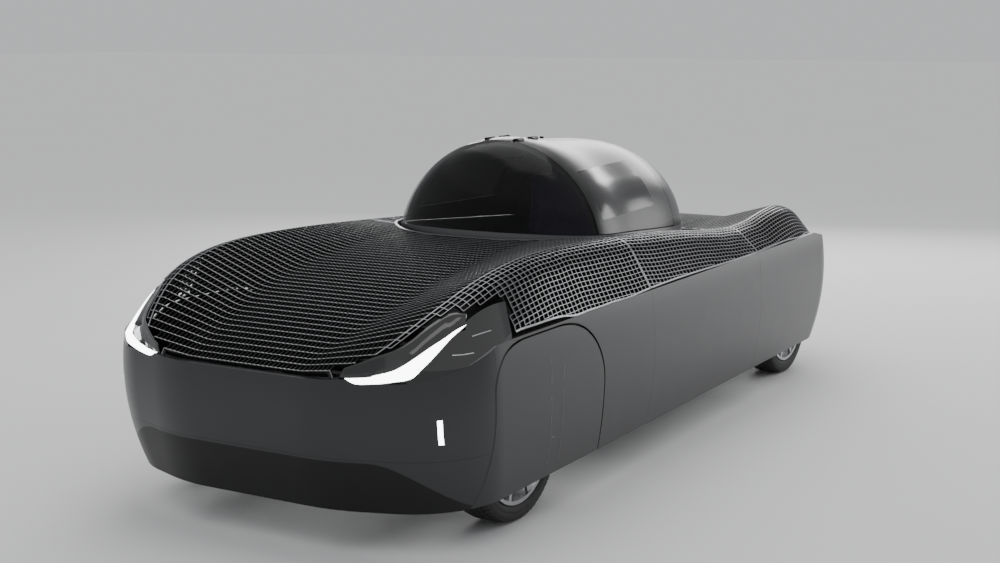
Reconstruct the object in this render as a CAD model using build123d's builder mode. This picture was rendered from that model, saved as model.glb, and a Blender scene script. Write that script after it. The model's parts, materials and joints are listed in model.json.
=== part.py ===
from build123d import *
import math
import os

# Flying car with an open mesh deck over eight rotors and one cabin pod in the middle.
# Millimetres. +Z up, the nose points to -Y, +X is the car's left side, the ground is z = 0.

os.makedirs("parts", exist_ok=True)

# Body shell
body_front_y = -2600.0
body_rear_y = 2600.0
body_half_width = 1024.0
body_bottom_z = 200.0
chin_top_z = 453.0
panel_wall = 22.0
panel_gap = 0.8
# The shoulder where the panels end and the deck begins, in side view: y, z
shoulder = [(-2700, 776), (-2090, 926), (2110, 926), (2700, 815)]
shoulder_gap = 0.6
nose_seam_y = -2110.0
mid_seam_y = -480.0
rear_seam_y = 1080.0
tail_seam_y = 2430.0
deck_depth = 24.0
deck_rim = 22.0
# Open cells of the deck: six columns each side of the middle bar, and one or two rows on the side walls
grille_bar = 24.0
grille_border = 26.0
grille_columns = 6
grille_column_pitch = 130.0
grille_row_height = 115.0
grille_wall_x = 800.0
crest_margin = 60.0

# Closed outlines of the body seen from above: z, nose y, tail y, half width
hull_levels = [
    (120, body_front_y + 130, body_rear_y - 140, 0.930 * body_half_width),
    (680, body_front_y, body_rear_y, body_half_width),
    (1300, body_front_y + 130, body_rear_y - 130, 0.880 * body_half_width),
]
nose_flat_x = 420.0
nose_flat_radius = 800.0
nose_sweep = 200.0
nose_corner_radius = 450.0
tail_flat_x = 480.0
tail_flat_radius = 600.0
tail_sweep = 120.0
tail_corner_radius = 330.0

# Sections of the deck: y, valley z, valley half width, ridge x, ridge z, edge x, edge z
crown_stations = [
    (-2850, 725, 300, 520, 730, 660, 710),
    (-2420, 885, 320, 700, 965, 850, 850),
    (-2050, 1000, 400, 835, 1155, 988, 937),
    (-1350, 1130, 420, 850, 1240, 994, 937),
    (-600, 1170, 420, 845, 1200, 994, 937),
    (400, 1075, 420, 840, 1135, 994, 937),
    (1250, 1000, 420, 840, 1080, 992, 937),
    (1850, 1020, 420, 830, 1135, 986, 937),
    (2350, 940, 380, 770, 1020, 890, 890),
    (2850, 780, 340, 650, 790, 760, 760),
]
crown_outer_x = 1300.0
crown_base_z = -700.0
valley_radius = 300.0
ridge_radius = 130.0

# Wheels
wheel_radius = 400.0
tyre_width = 190.0
rim_radius = 316.0
wheel_centre_x = 805.0
front_axle_y = -1683.0
rear_axle_y = 1945.0
hub_radius = 62.0
spoke_count = 10
spindle_radius = 20.0
fit_gap = 0.3
running_gap = 0.05
spoke_width = 26.0
spoke_thickness = 18.0
rim_lip = 18.0
hub_inner_length = 58.0
hub_outer_length = 84.0
tyre_round = 34.0

# Steering and the arch-shaped front wheel covers that turn with it
kingpin_x = 680.0
cover_front_reach = 556.0
cover_rear_reach = 700.0
cover_top_z = 906.0
cover_front_round = 211.0
cover_rear_round = 355.0
cover_gap = 8.0

# Chassis
rail_x = 400.0
rail_width = 60.0
rail_bottom_z = 230.0
rail_height = 110.0
beam_width = 60.0
beam_depth = 40.0
front_beam_y = -2330.0
rear_beam_y = 2400.0
battery_front_y = -420.0
battery_rear_y = 1020.0
battery_height = 110.0
jack_pad_rows = (-1200, 1450)
jack_pad_length = 80.0
jack_pad_height = 8.0

# Suspension
arm_width = 40.0
arm_thickness = 30.0
lower_arm_z = 250.0
upper_arm_z = 560.0
tower_width = 60.0
upright_width = 46.0
upright_depth = 80.0
joint_gap = 0.3
strap_width = 30.0
strap_thickness = 18.0
wheel_top_gap = 12.0
strap_offset_y = 50.0
axle_tube_radius = 30.0
tower_depth = 40.0
axle_end_gap = 4.0
saddle_width = 80.0
spindle_past_centre = 30.0
cap_gap = 2.0
rim_inset = 8.0
spoke_root = 6.0
spoke_set_back = 3.0

# Rotors: bay row y and rotor radius
rotor_x = 420.0
front_rotor_rows = (-2000, -1210)
rear_rotor_rows = (1600, 2200)
front_rotor_radius = 370.0
rear_rotor_radius = 285.0
rotor_plane_z = 842.0
blade_thickness = 12.0
motor_radius = 55.0
rotor_hub_gap = 0.3
rotor_hub_radius = 45.0
rotor_park_angle = 35.0
blade_chord = 78.0
blade_root = 46.0
blade_tip = 40.0
frame_bar_width = 44.0
frame_post_width = 40.0
frame_bar_z = 720.0
frame_bar_height = 40.0

# Headlamps, drawn in plan along the nose corner: x, y of the strip's middle line
lamp_line = [(545, -2600), (764, -2470), (880, -2165)]
lamp_housing_outer = [(764, -2600), (1100, -2300), (1100, -2040), (930, -1893)]
lamp_strip_width = 34.0
lamp_depth = 40.0
lamp_gap = 1.0
# The lamps' lower limit along the nose: y, z
lamp_floor = [(-2700, 786), (-2449, 800), (-2090, 918), (-1500, 960)]
lamp_roof_z = 1400.0
marker_x = 889.0
marker_low_z = 530.0
marker_high_z = 640.0
marker_width = 16.0
tail_lamp_low_z = 700.0
tail_lamp_height = 30.0
tail_lamp_half_width = 760.0
lens_depth = 8.0

# Cabin pod, a round body about a level axis along Y
pod_axis_z = 1018.0
pod_wall = 30.0
glass_thickness = 10.0
pod_floor_z = 600.0
windscreen_y = -350.0
door_rear_y = 790.0
spine_half_width = 90.0
sill_front_z = 1170.0
sill_rear_z = 1090.0
window_front_y = -270.0
window_rear_y = 520.0
window_bottom_z = 1245.0
window_top_z = 1500.0
door_gap = 6.0
# The deck's oval opening round the pod
opening_front_y = -745.0
opening_rear_y = 1430.0
opening_half_width = 695.0
opening_front_radius = 600.0
opening_rear_radius = 650.0
window_margin = 60.0
antenna_y = 150.0
antenna_z = 1632.0
antenna_radius = 12.0
antenna_height = 40.0
cradle_rows = (-250, 850)
cradle_post = 60.0
cradle_post_x = 230.0
# Door hinges on the roof's edge
hinge_z = 1667.0
hinge_rows = (-285, -125)
hinge_radius = 5.0
hinge_pin_radius = 2.5
hinge_barrel = 60.0
hinge_lug = 16.0
hinge_lug_width = 12.0
hinge_side_gap = 0.5
hinge_leaf = 16.0
hinge_leaf_depth = 30.0

# Seat and dashboard in side view: y from the seat's place, z
seat_y = 200.0
seat_half_width = 230.0
seat_round = 30.0
seat_outline = [(-330, 630.5), (-330, 860), (130, 800), (250, 1400), (380, 1400), (300, 630.5)]
headrest_y = 330.0
headrest_z = 1450.0
headrest_width = 240.0
headrest_depth = 90.0
headrest_height = 120.0
dashboard_half_width = 380.0
dashboard_outline = [(-430, 630.5), (-430, 1090), (-260, 1110), (-230, 1060), (-330, 630.5)]
# Outline of the pod: y, radius, with the strength of the spline's upright ends
pod_end_pull = (1.0, 0.6)
pod_outline = [
    (-677, 0),
    (-600, 392),
    (-427, 617),
    (-200, 652),
    (60, 628),
    (500, 601),
    (900, 548),
    (1160, 444),
    (1340, 218),
    (1389, 0),
]


def save(piece, name):
    piece.label = name
    export_step(piece, "parts/" + name + ".step")


def block(x0, x1, y0, y1, z0, z1):
    """A plain box between two corners, as a loose shape."""
    with BuildPart(mode=Mode.PRIVATE) as solid:
        with Locations(((x0 + x1) / 2, (y0 + y1) / 2, (z0 + z1) / 2)):
            Box(abs(x1 - x0), abs(y1 - y0), abs(z1 - z0))
    return solid.part


def hull(inset):
    """The body's outer form, or the same form moved in by inset."""
    with BuildPart(mode=Mode.PRIVATE) as solid:
        for z, front, rear, half in hull_levels:
            y0 = front + inset
            y1 = rear - inset
            w = half - inset
            corners = [
                (-nose_flat_x, y0),
                (nose_flat_x, y0),
                (w, y0 + nose_sweep),
                (w, y1 - tail_sweep),
                (tail_flat_x, y1),
                (-tail_flat_x, y1),
                (-w, y1 - tail_sweep),
                (-w, y0 + nose_sweep),
            ]
            nose_r = nose_corner_radius - inset
            tail_r = tail_corner_radius - inset
            radii = [nose_flat_radius, nose_flat_radius, nose_r, tail_r,
                     tail_flat_radius, tail_flat_radius, tail_r, nose_r]
            with BuildSketch(Plane.XY.offset(z)):
                with BuildLine():
                    FilletPolyline(*corners, radius=radii, close=True)
                make_face()
        loft()
    return solid.part


def crown(drop):
    """Everything under the deck's top surface, lowered by drop."""
    with BuildPart(mode=Mode.PRIVATE) as solid:
        for y, valley_z, valley_x, ridge_x, ridge_z, edge_x, edge_z in crown_stations:
            v = valley_z - drop
            r = ridge_z - drop
            slope = (ridge_z - edge_z) / (edge_x - ridge_x)
            outer = r - (crown_outer_x - ridge_x) * slope
            corners = [
                (-crown_outer_x, crown_base_z),
                (-crown_outer_x, outer),
                (-ridge_x, r),
                (-valley_x, v),
                (valley_x, v),
                (ridge_x, r),
                (crown_outer_x, outer),
                (crown_outer_x, crown_base_z),
            ]
            radii = [20, 20, ridge_radius, valley_radius, valley_radius, ridge_radius, 20, 20]
            section = Plane(origin=(0, y, 0), x_dir=(1, 0, 0), z_dir=(0, -1, 0))
            with BuildSketch(section):
                with BuildLine():
                    FilletPolyline(*corners, radius=radii, close=True)
                make_face()
        loft()
    return solid.part


def pod(inset):
    """The cabin pod's round form, moved in by inset."""
    rim = [Vector(y, max(r - inset, 0)) for y, r in pod_outline]
    rim[0] = Vector(pod_outline[0][0] + inset, 0)
    rim[-1] = Vector(pod_outline[-1][0] - inset, 0)
    with BuildPart(mode=Mode.PRIVATE) as solid:
        with BuildSketch(Plane.XY):
            with BuildLine():
                Spline(*rim, tangents=[(0, 1), (0, -1)], tangent_scalars=pod_end_pull)
                Line(rim[-1], rim[0])
            make_face()
        revolve(axis=Axis.X)
    return solid.part.rotate(Axis.Z, 90).rotate(Axis.Y, -90).moved(Location((0, 0, pod_axis_z)))

def mirrored(piece):
    return mirror(piece, about=Plane.YZ, mode=Mode.PRIVATE)


def save_both(left_piece, name):
    """A left piece and its mirror as two nodes."""
    save(left_piece, name + "_left")
    save(mirrored(left_piece), name + "_right")


def save_pair(left_piece, name):
    """A left piece and its mirror as two solids of one node."""
    save(Compound(children=[left_piece, mirrored(left_piece)]), name)


def save_whole(left_piece, name):
    """A left half joined to its mirror."""
    with BuildPart() as whole:
        add(left_piece)
        add(mirrored(left_piece))
    save(whole.part, name)


def cover_zone(gap):
    """The space that the left front wheel cover sweeps about its kingpin, grown by gap."""
    with BuildPart(mode=Mode.PRIVATE) as zone:
        for reach, rounding, front in ((cover_front_reach, cover_front_round, True),
                                       (cover_rear_reach, cover_rear_round, False)):
            edge = reach + gap
            top = cover_top_z + gap
            with BuildPart(mode=Mode.PRIVATE) as half:
                with BuildSketch(Plane.XZ):
                    with BuildLine():
                        Polyline((0, 0), (edge, 0), (edge, top - rounding))
                        RadiusArc((edge, top - rounding), (edge - rounding, top), -rounding)
                        Polyline((edge - rounding, top), (0, top), (0, 0))
                    make_face()
                revolve(axis=Axis.Z)
                keep = (-2000, 0) if front else (0, 2000)
                add(block(-2000, 2000, keep[0], keep[1], -10, 2000), mode=Mode.INTERSECT)
            add(half.part)
    return zone.part.moved(Location((kingpin_x, front_axle_y, 0)))


def plan_prism(points):
    """A closed outline in plan, carried up through the full height."""
    with BuildPart(mode=Mode.PRIVATE) as prism:
        with BuildSketch(Plane.XY):
            with BuildLine():
                Polyline(*points, close=True)
            make_face()
        extrude(amount=lamp_roof_z)
    return prism.part


def lamp_strip_zone(gap):
    """The bent band of a headlamp strip in plan, grown by gap."""
    half = lamp_strip_width / 2 + gap
    (x0, y0), (x1, y1), (x2, y2) = lamp_line
    a = math.atan2(y1 - y0, x1 - x0)
    b = math.atan2(y2 - y1, x2 - x1)
    m = (a + b) / 2
    k = half / math.cos((b - a) / 2)
    outer = [
        (x0 + half * math.sin(a), y0 - half * math.cos(a)),
        (x1 + k * math.sin(m), y1 - k * math.cos(m)),
        (x2 + half * math.sin(b), y2 - half * math.cos(b)),
    ]
    inner = [
        (x2 - half * math.sin(b), y2 + half * math.cos(b)),
        (x1 - k * math.sin(m), y1 + k * math.cos(m)),
        (x0 - half * math.sin(a), y0 + half * math.cos(a)),
    ]
    return plan_prism(outer + inner)


def lamp_housing_zone():
    """The black corner housing in plan, from the strip out to the body's corner."""
    return plan_prism([lamp_line[1]] + lamp_housing_outer + [lamp_line[2]])


# Body forms used by the panels, the deck and the lamps
far = 3000.0
outer_form = hull(0)
seat_form = hull(panel_wall + fit_gap)


def side_view_prism(lower_line, top_z):
    """The space above a line in side view, across the whole width."""
    with BuildPart(mode=Mode.PRIVATE) as prism:
        with BuildSketch(Plane.YZ):
            with BuildLine():
                Polyline(*lower_line, (lower_line[-1][0], top_z), (lower_line[0][0], top_z), close=True)
            make_face()
        extrude(amount=far / 2, both=True)
    return prism.part


above_shoulder = side_view_prism(shoulder, crown_outer_x + 100)
above_panels = side_view_prism([(y, z - shoulder_gap) for y, z in shoulder], crown_outer_x + 100)

with BuildPart(mode=Mode.PRIVATE) as body_form:
    add(outer_form)
    add(crown(0), mode=Mode.INTERSECT)
with BuildPart(mode=Mode.PRIVATE) as skin:
    add(outer_form)
    add(hull(panel_wall), mode=Mode.SUBTRACT)
    add(above_panels, mode=Mode.SUBTRACT)
    add(block(-far, far, -far, far, body_bottom_z, far), mode=Mode.INTERSECT)
with BuildPart(mode=Mode.PRIVATE) as deck:
    add(body_form.part)
    with BuildPart(mode=Mode.PRIVATE) as deck_core:
        add(crown(deck_depth))
        add(hull(deck_rim), mode=Mode.INTERSECT)
    add(deck_core.part, mode=Mode.SUBTRACT)
    add(above_shoulder, mode=Mode.INTERSECT)

# Left headlamp: strip, housing and the hole that they leave in the panel and the deck
lamp_space = side_view_prism(lamp_floor, lamp_roof_z)
with BuildPart(mode=Mode.PRIVATE) as lamp_layer:
    add(body_form.part)
    with BuildPart(mode=Mode.PRIVATE) as lamp_core:
        add(crown(lamp_depth))
        add(hull(lamp_depth), mode=Mode.INTERSECT)
    add(lamp_core.part, mode=Mode.SUBTRACT)
with BuildPart(mode=Mode.PRIVATE) as left_strip:
    add(lamp_layer.part)
    add(lamp_strip_zone(0), mode=Mode.INTERSECT)
    add(lamp_space, mode=Mode.INTERSECT)
with BuildPart(mode=Mode.PRIVATE) as left_housing:
    add(lamp_layer.part)
    add(lamp_housing_zone(), mode=Mode.INTERSECT)
    add(lamp_space, mode=Mode.INTERSECT)
    add(lamp_strip_zone(fit_gap), mode=Mode.SUBTRACT)
with BuildPart(mode=Mode.PRIVATE) as lamp_hole:
    add(lamp_strip_zone(lamp_gap))
    add(lamp_housing_zone())
    add(lamp_space, mode=Mode.INTERSECT)
save_pair(left_strip.part, "lamp_strips")
save_pair(left_housing.part, "headlamps")

# Marker lamps and tail lamp, flush in shallow pockets of their panels
with BuildPart(mode=Mode.PRIVATE) as lens_layer:
    add(outer_form)
    add(hull(lens_depth), mode=Mode.SUBTRACT)
with BuildPart(mode=Mode.PRIVATE) as marker_lamp:
    add(lens_layer.part)
    add(block(marker_x, marker_x + marker_width, -far, -2200, marker_low_z, marker_high_z), mode=Mode.INTERSECT)
with BuildPart() as tail_lamp:
    add(lens_layer.part)
    add(block(-tail_lamp_half_width, tail_lamp_half_width, tail_seam_y, far,
              tail_lamp_low_z, tail_lamp_low_z + tail_lamp_height), mode=Mode.INTERSECT)
save_pair(marker_lamp.part, "marker_lamps")
save(tail_lamp.part, "tail_lamp")

# Left side of the painted skin, cut into its panels; the right side is its mirror
with BuildPart(mode=Mode.PRIVATE) as left_front:
    add(skin.part)
    add(block(0, far, -far, mid_seam_y, 0, far), mode=Mode.INTERSECT)
with BuildPart(mode=Mode.PRIVATE) as left_nose:
    add(left_front.part)
    add(block(0, far, -far, nose_seam_y, 0, far), mode=Mode.INTERSECT)
    add(cover_zone(cover_gap), mode=Mode.SUBTRACT)
    add(lamp_hole.part, mode=Mode.SUBTRACT)
with BuildPart(mode=Mode.PRIVATE) as left_fascia:
    add(left_nose.part)
    add(block(0, far, -far, far, chin_top_z, far), mode=Mode.INTERSECT)
    add(marker_lamp.part, mode=Mode.SUBTRACT)
with BuildPart(mode=Mode.PRIVATE) as left_chin:
    add(left_nose.part)
    add(block(0, far, -far, far, 0, chin_top_z - panel_gap), mode=Mode.INTERSECT)
with BuildPart() as front_wing:
    add(left_front.part)
    add(block(0, far, nose_seam_y + panel_gap, far, 0, far), mode=Mode.INTERSECT)
    add(cover_zone(cover_gap), mode=Mode.SUBTRACT)
    add(lamp_hole.part, mode=Mode.SUBTRACT)
with BuildPart() as cover:
    add(left_front.part)
    add(cover_zone(0), mode=Mode.INTERSECT)
with BuildPart() as mid_side:
    add(skin.part)
    add(block(0, far, mid_seam_y + panel_gap, rear_seam_y, 0, far), mode=Mode.INTERSECT)
with BuildPart() as rear_quarter:
    add(skin.part)
    add(block(0, far, rear_seam_y + panel_gap, tail_seam_y - panel_gap, 0, far), mode=Mode.INTERSECT)
with BuildPart() as tail_fascia:
    add(skin.part)
    add(block(-far, far, tail_seam_y, far, 0, far), mode=Mode.INTERSECT)
    add(tail_lamp.part, mode=Mode.SUBTRACT)
save_whole(left_fascia.part, "nose_fascia")
save_whole(left_chin.part, "chin_panel")
save_both(front_wing.part, "front_wing")
save_both(cover.part, "wheel_cover")
save_both(mid_side.part, "mid_side")
save_both(rear_quarter.part, "rear_quarter")
save(tail_fascia.part, "tail_fascia")

# Mesh deck in three lengths, open round the pod, each an open grille
def line_z(line, y):
    """The height at y of a line through points of y, z."""
    for (y0, z0), (y1, z1) in zip(line, line[1:]):
        if y0 <= y <= y1:
            return z0 + (y - y0) / (y1 - y0) * (z1 - z0)


def opening_prism(grow):
    """The oval opening round the pod, grown by grow."""
    half = opening_half_width + grow
    y0 = opening_front_y - grow
    y1 = opening_rear_y + grow
    front_r = opening_front_radius + grow
    rear_r = opening_rear_radius + grow
    with BuildPart(mode=Mode.PRIVATE) as prism:
        with BuildSketch():
            with BuildLine():
                FilletPolyline((-half, y0), (half, y0), (half, y1), (-half, y1),
                               radius=[front_r, front_r, rear_r, rear_r], close=True)
            make_face()
        extrude(amount=lamp_roof_z)
    return prism.part


def grille_cells(first_y, last_y, count):
    """The open cells in the left half of one length of the deck."""
    pitch = (last_y - first_y) / count
    rows = [first_y + (i + 0.5) * pitch for i in range(count)]
    crest = [(station[0], station[4]) for station in crown_stations]
    with BuildPart(mode=Mode.PRIVATE) as cells:
        with BuildSketch():
            with Locations([((i + 0.5) * grille_column_pitch, y) for i in range(grille_columns) for y in rows]):
                Rectangle(grille_column_pitch - grille_bar, pitch - grille_bar)
        extrude(amount=lamp_roof_z)
        add(hull(deck_rim + grille_border), mode=Mode.INTERSECT)
    with BuildPart(mode=Mode.PRIVATE) as wall_cells:
        with BuildSketch(Plane.YZ.offset(grille_wall_x)):
            for y in rows:
                low = line_z(shoulder, y) + grille_border
                height = line_z(crest, y) - crest_margin - low
                if height > grille_bar:
                    steps = max(1, round(height / grille_row_height))
                    for i in range(steps):
                        with Locations((y, low + (i + 0.5) * height / steps)):
                            Rectangle(pitch - grille_bar, height / steps - (grille_bar if steps > 1 else 0))
        extrude(amount=far)
    with BuildPart(mode=Mode.PRIVATE) as clear_cells:
        add(cells.part)
        add(wall_cells.part)
        add(opening_prism(grille_border), mode=Mode.SUBTRACT)
        with BuildPart(mode=Mode.PRIVATE) as lamp_border:
            with BuildSketch():
                with BuildLine():
                    Polyline(*lamp_line, *reversed(lamp_housing_outer), close=True)
                make_face()
                offset(amount=lamp_strip_width / 2 + lamp_gap + grille_border)
            extrude(amount=lamp_roof_z)
        add(lamp_border.part, mode=Mode.SUBTRACT)
    return clear_cells.part


# Lengths of the deck: name, first y, last y, cells along it
deck_lengths = [
    ("front_mesh", body_front_y, mid_seam_y, 15),
    ("mid_mesh", mid_seam_y + panel_gap, rear_seam_y, 11),
    ("rear_mesh", rear_seam_y + panel_gap, body_rear_y, 11),
]
for name, first_y, last_y, count in deck_lengths:
    with BuildPart(mode=Mode.PRIVATE) as mesh_half:
        add(deck.part)
        add(block(0, far, first_y, last_y, 0, far), mode=Mode.INTERSECT)
        add(opening_prism(0), mode=Mode.SUBTRACT)
        add(lamp_hole.part, mode=Mode.SUBTRACT)
        add(grille_cells(first_y, last_y, count), mode=Mode.SUBTRACT)
    if name == "mid_mesh":
        save_pair(mesh_half.part, name)
    else:
        save_whole(mesh_half.part, name)

# Chassis: rails with jack pads from chin to tail, cross beams on them, battery between them
rail_top_z = rail_bottom_z + rail_height
with BuildPart() as rail:
    add(block(rail_x - rail_width / 2, rail_x + rail_width / 2, -far, far, rail_bottom_z, rail_top_z))
    add(seat_form, mode=Mode.INTERSECT)
    for row in jack_pad_rows:
        with Locations((rail_x, row, rail_bottom_z - jack_pad_height / 2)):
            Box(rail_width, jack_pad_length, jack_pad_height)
save_both(rail.part, "rail")
beams = []
rail_outer_x = rail_x + rail_width / 2
for row, half in ((front_beam_y, rail_outer_x), (mid_seam_y, far), (rear_seam_y, far), (rear_beam_y, rail_outer_x)):
    with BuildPart() as beam:
        add(block(-half, half, row - beam_width / 2, row + beam_width / 2, rail_top_z, rail_top_z + beam_depth))
        add(seat_form, mode=Mode.INTERSECT)
    beams.append(beam.part)
save(Compound(children=beams), "cross_beams")
with BuildPart() as battery:
    with Locations((0, (battery_front_y + battery_rear_y) / 2, rail_bottom_z + battery_height / 2)):
        Box(2 * (rail_x - rail_width / 2 - fit_gap), battery_rear_y - battery_front_y, battery_height)
save(battery.part, "battery")

# Front suspension: arms from a tower on each rail, joined across the car
arm_reach_x = kingpin_x + arm_width / 2
with BuildPart() as front_suspension:
    with BuildPart(mode=Mode.PRIVATE) as arm_pair:
        tower_top = upper_arm_z + arm_thickness
        add(block(rail_outer_x - tower_depth, rail_outer_x, front_axle_y - tower_width / 2,
                  front_axle_y + tower_width / 2, rail_top_z, tower_top))
        add(block(rail_outer_x - tower_depth, arm_reach_x, front_axle_y - arm_width / 2,
                  front_axle_y + arm_width / 2, upper_arm_z, tower_top))
        add(block(rail_outer_x + fit_gap, arm_reach_x, front_axle_y - arm_width / 2,
                  front_axle_y + arm_width / 2, lower_arm_z, lower_arm_z + arm_thickness))
        add(block(rail_outer_x + fit_gap, rail_outer_x + arm_thickness, front_axle_y - tower_width / 2,
                  front_axle_y + tower_width / 2, lower_arm_z, tower_top))
    add(arm_pair.part)
    add(mirrored(arm_pair.part))
    add(block(-rail_outer_x, rail_outer_x, front_axle_y - tower_width / 2,
              front_axle_y + tower_width / 2, tower_top - beam_depth, tower_top))
save(front_suspension.part, "front_suspension")

# Knuckle: upright between the arms, spindle, and a strap over the tyre that carries the cover
upright_low_z = lower_arm_z + arm_thickness + joint_gap
upright_high_z = upper_arm_z - joint_gap
strap_top_z = rotor_plane_z - wheel_top_gap
strap_low_z = strap_top_z - strap_thickness
strap_y = front_axle_y + strap_offset_y
wheel_inner_x = wheel_centre_x - tyre_width / 2
with BuildPart() as knuckle:
    add(block(kingpin_x - upright_width / 2, kingpin_x + upright_width / 2 - joint_gap,
              front_axle_y - upright_depth / 2, front_axle_y + upright_depth / 2, upright_low_z, upright_high_z))
    with BuildPart(mode=Mode.PRIVATE) as strap:
        add(block(kingpin_x - upright_width / 2, kingpin_x + upright_width / 2 - joint_gap,
                  strap_y - strap_width / 2, strap_y + strap_width / 2, wheel_radius, strap_top_z))
        add(block(kingpin_x - upright_width / 2, body_half_width, strap_y - strap_width / 2,
                  strap_y + strap_width / 2, strap_low_z, strap_top_z))
        add(seat_form, mode=Mode.INTERSECT)
    add(strap.part)
    with Locations(Location((kingpin_x, front_axle_y, wheel_radius), (0, 90, 0))):
        Cylinder(spindle_radius, wheel_centre_x - kingpin_x + spindle_past_centre,
                 align=(Align.CENTER, Align.CENTER, Align.MIN))
save_both(knuckle.part, "knuckle")

# Rear axle: a tube over the rails on two saddles, with a spindle at each end
with BuildPart() as rear_axle:
    with Locations(Location((0, rear_axle_y, wheel_radius), (0, 90, 0))):
        Cylinder(axle_tube_radius, 2 * (wheel_inner_x - axle_end_gap))
        Cylinder(spindle_radius, 2 * (wheel_centre_x + spindle_past_centre))
    for side in (1, -1):
        add(block(side * rail_x - rail_width / 2, side * rail_x + rail_width / 2, rear_axle_y - saddle_width / 2,
                  rear_axle_y + saddle_width / 2, rail_top_z, wheel_radius))
save(rear_axle.part, "rear_axle")

# Wheels, modelled on the X axis with the outer face towards +X
with BuildPart(mode=Mode.PRIVATE) as tyre:
    with BuildSketch(Plane.XY):
        with Locations((0, (rim_radius + fit_gap + wheel_radius) / 2)):
            Rectangle(tyre_width, wheel_radius - rim_radius - fit_gap)
        fillet(vertices().group_by(Axis.Y)[-1], tyre_round)
    revolve(axis=Axis.X)
with BuildPart(mode=Mode.PRIVATE) as rim:
    rim_half = tyre_width / 2 - rim_inset
    with BuildSketch(Plane.XY):
        with Locations((0, rim_radius - rim_lip / 2)):
            Rectangle(2 * rim_half, rim_lip)
        with Locations(((hub_outer_length - hub_inner_length) / 2, (hub_radius + spindle_radius + running_gap) / 2)):
            Rectangle(hub_outer_length + hub_inner_length, hub_radius - spindle_radius - running_gap)
        with Locations((spindle_past_centre + cap_gap + (hub_outer_length - spindle_past_centre - cap_gap) / 2,
                        spindle_radius / 2 + running_gap)):
            Rectangle(hub_outer_length - spindle_past_centre - cap_gap, spindle_radius + 2 * running_gap)
    revolve(axis=Axis.X)
    spoke_length = rim_radius - rim_lip - hub_radius + 2 * spoke_root
    with BuildSketch(Plane.YZ.offset(rim_half - spoke_thickness)):
        with PolarLocations(hub_radius - spoke_root + spoke_length / 2, spoke_count):
            Rectangle(spoke_length, spoke_width)
    extrude(amount=spoke_thickness - spoke_set_back)
wheels = [
    ("front_left", 1, front_axle_y),
    ("front_right", -1, front_axle_y),
    ("rear_left", 1, rear_axle_y),
    ("rear_right", -1, rear_axle_y),
]
for name, side, axle_y in wheels:
    place = Location((side * wheel_centre_x, axle_y, wheel_radius))
    for ring, kind in ((tyre.part, "tyre"), (rim.part, "rim")):
        shape = ring if side > 0 else mirrored(ring)
        save(Part(shape.moved(place).wrapped), kind + "_" + name)

# Rotor frames: posts on the rails, bars across, a motor under each rotor
motor_base_z = frame_bar_z + frame_bar_height
motor_top_z = rotor_plane_z - rotor_hub_gap
for name, rows in (("front_rotor_frame", front_rotor_rows), ("rear_rotor_frame", rear_rotor_rows)):
    with BuildPart() as rotor_frame:
        for y in rows:
            with Locations((0, y, frame_bar_z + frame_bar_height / 2)):
                Box(2 * rotor_x + frame_bar_width, frame_bar_width, frame_bar_height)
            for side in (1, -1):
                with Locations((side * rail_x, y, (rail_top_z + frame_bar_z) / 2)):
                    Box(frame_post_width, frame_post_width, frame_bar_z - rail_top_z)
                with Locations((side * rotor_x, y, (motor_base_z + motor_top_z) / 2)):
                    Cylinder(motor_radius, motor_top_z - motor_base_z)
        with Locations((0, (rows[0] + rows[1]) / 2, frame_bar_z + frame_bar_height / 2)):
            Box(frame_bar_width, rows[1] - rows[0], frame_bar_height)
    save(rotor_frame.part, name)

# Rotors: two twisted blades on a hub
def rotor_shape(radius):
    with BuildPart(mode=Mode.PRIVATE) as rotor:
        Cylinder(rotor_hub_radius, blade_thickness, align=(Align.CENTER, Align.CENTER, Align.MIN))
        with BuildSketch():
            for turn in (0, 180):
                with Locations(Rotation(0, 0, turn)):
                    with BuildLine():
                        Polyline((0, -blade_root / 2), (radius * 0.3, -blade_chord / 2),
                                 (radius - blade_tip, -blade_tip / 2), (radius, 0),
                                 (radius - blade_tip, blade_tip / 2), (radius * 0.3, blade_chord / 2),
                                 (0, blade_root / 2), close=True)
                    make_face()
        extrude(amount=blade_thickness)
    return rotor.part


rotor_bays = (("front", front_rotor_rows, front_rotor_radius), ("rear", rear_rotor_rows, rear_rotor_radius))
for bay, rows, radius in rotor_bays:
    shape = rotor_shape(radius)
    for row, y in enumerate(rows, 1):
        for side, side_word in ((1, "left"), (-1, "right")):
            place = Location((side * rotor_x, y, rotor_plane_z), (0, 0, side * rotor_park_angle))
            save(Part(shape.moved(place).wrapped), f"rotor_{bay}_{row}_{side_word}")

# Cabin pod: shells of one round form, cut along the real panel lines
pod_outer = pod(0)
pod_cavity = pod(pod_wall)
sill_slope = (sill_rear_z - sill_front_z) / (door_rear_y - windscreen_y)


def sill_z(y):
    return sill_front_z + (y - windscreen_y) * sill_slope


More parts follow.
